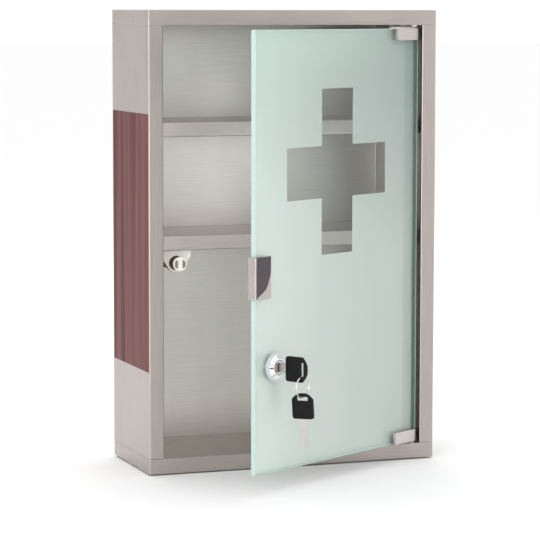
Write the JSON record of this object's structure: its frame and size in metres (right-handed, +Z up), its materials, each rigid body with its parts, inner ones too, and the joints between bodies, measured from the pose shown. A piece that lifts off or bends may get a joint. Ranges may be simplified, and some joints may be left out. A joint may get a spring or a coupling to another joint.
{
  "type": "medicine cabinet",
  "caption": "Wall-hung stainless steel medicine cabinet with two shelves, a frosted glass door, a touch latch and a cam lock with keys.",
  "frame": {"origin": "centre of the back panel's rear face, on the wall, midway between the four wall holes", "axes": "+X to the right seen from the front, +Y into the wall, +Z up; the door faces -Y"},
  "size_m": [0.3008, 0.2773, 0.45],
  "materials": {
    "case_steel": "brushed stainless steel",
    "band_red": "dark red film",
    "hinge_steel": "satin nickel-plated",
    "bright_steel": "polished",
    "zinc": "zinc-plated",
    "glass": "polished float glass",
    "frost": "frosted film",
    "clear_plastic": "clear",
    "soft_pad": "translucent pad",
    "brass": "machined",
    "black_plastic": "moulded",
    "white_plastic": "moulded",
    "magnet_steel": "bare"
  },
  "bodies": {
    "cabinet": {"back_panel": "case_steel", "left_side_panel": "case_steel", "right_side_panel": "case_steel", "top_cap": "case_steel", "bottom_cap": "case_steel", "upper_shelf": "case_steel", "lower_shelf": "case_steel", "left_side_band": "band_red", "right_side_band": "band_red", "hinge_plate_top": "hinge_steel", "hinge_plate_rivets": "zinc", "hinge_bush_top": "white_plastic", "hinge_bush_bottom": "white_plastic", "latch_bracket": "white_plastic", "latch_barrel": "white_plastic", "latch_spring": "zinc", "latch_screws": "zinc"},
    "door": {"door_glass": "glass", "frosted_layer": "frost", "hinge_clamp_top": "hinge_steel", "hinge_clamp_bottom": "hinge_steel", "hinge_pad_top": "soft_pad", "hinge_pad_bottom": "soft_pad", "hinge_pin_top": "bright_steel", "hinge_pin_bottom": "bright_steel", "hinge_grub_screws": "zinc", "strike_clip": "bright_steel", "strike_liner": "soft_pad", "lock_housing": "bright_steel", "lock_washer": "clear_plastic", "lock_rear_washer": "soft_pad", "lock_nut": "zinc"},
    "lock": {"lock_core": "bright_steel", "lock_wafers": "brass", "lock_cam": "zinc", "cam_screw": "zinc"},
    "key": {"key_blade": "bright_steel", "key_head": "black_plastic"},
    "ring": {"key_ring": "bright_steel"},
    "spare_key": {"spare_key_blade": "bright_steel", "spare_key_head": "black_plastic"},
    "plunger": {"latch_plunger": "white_plastic", "latch_poles": "magnet_steel"}
  },
  "joints": [
    {"name": "door_swing", "type": "hinge", "parent": "cabinet", "child": "door", "pos_m": [0.128, -0.1145, 0], "axis": [0, 0, 1], "range_deg": [-32, 68]},
    {"name": "lock_turn", "type": "hinge", "parent": "door", "child": "lock", "pos_m": [-0.06128, -0.2428, -0.1073], "axis": [-0.5299, 0.848, 0], "range_deg": [0, 90]},
    {"name": "key_pull", "type": "slide", "parent": "lock", "child": "key", "axis": [0.5299, -0.848, 0], "range_m": [0, 0.02]},
    {"name": "ring_swing", "type": "hinge", "parent": "key", "child": "ring", "pos_m": [-0.04689, -0.26582, -0.11335], "axis": [-0.848, -0.5299, 0], "range_deg": [-20, 20]},
    {"name": "spare_key_swing", "type": "hinge", "parent": "ring", "child": "spare_key", "pos_m": [-0.04689, -0.26582, -0.13305], "axis": [-0.848, -0.5299, 0], "range_deg": [-12, 12]},
    {"name": "latch_push", "type": "slide", "parent": "cabinet", "child": "plunger", "axis": [0, 1, 0], "range_m": [0, 0.004], "stiffness_N_per_m": 400, "springref_m": -0.003, "deforming": ["latch_spring"]}
  ]
}
